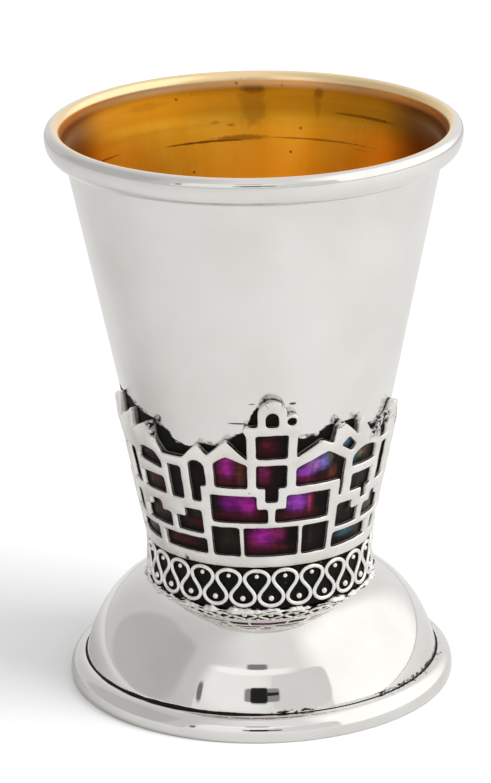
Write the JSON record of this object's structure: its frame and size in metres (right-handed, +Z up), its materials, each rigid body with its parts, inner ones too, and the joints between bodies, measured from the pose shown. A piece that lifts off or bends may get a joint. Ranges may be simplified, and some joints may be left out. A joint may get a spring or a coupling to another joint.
{
  "type": "kiddush cup",
  "caption": "Silver wine cup for ritual use: a tapering beaker with a rolled rim and gilt inside, a pierced enamelled skyline band, a filigree collar and a hollow domed foot.",
  "frame": {"origin": "centre of the circle that the foot ring stands on", "axes": "+Z up along the cup's axis; -Y out through the tower at the middle of the skyline band"},
  "size_m": [0.062, 0.062, 0.087],
  "materials": {
    "silver_gilt_inside": "polished silver outside, gilt inside up to the crest of the rim",
    "polished_silver": "polished silver",
    "ring_silver": "polished silver with a dark joint",
    "cast_silver": "soft satin cast silver",
    "enamel": "glossy enamel in each opening over blackened metal",
    "oxidised_silver": "bright wire and granules over blackened ground"
  },
  "bodies": {
    "root": {"beaker": "silver_gilt_inside", "foot_dome": "polished_silver", "foot_ring": "ring_silver", "skyline_band": "cast_silver", "enamel_ground": "enamel", "filigree_collar": "oxidised_silver"}
  },
  "joints": []
}
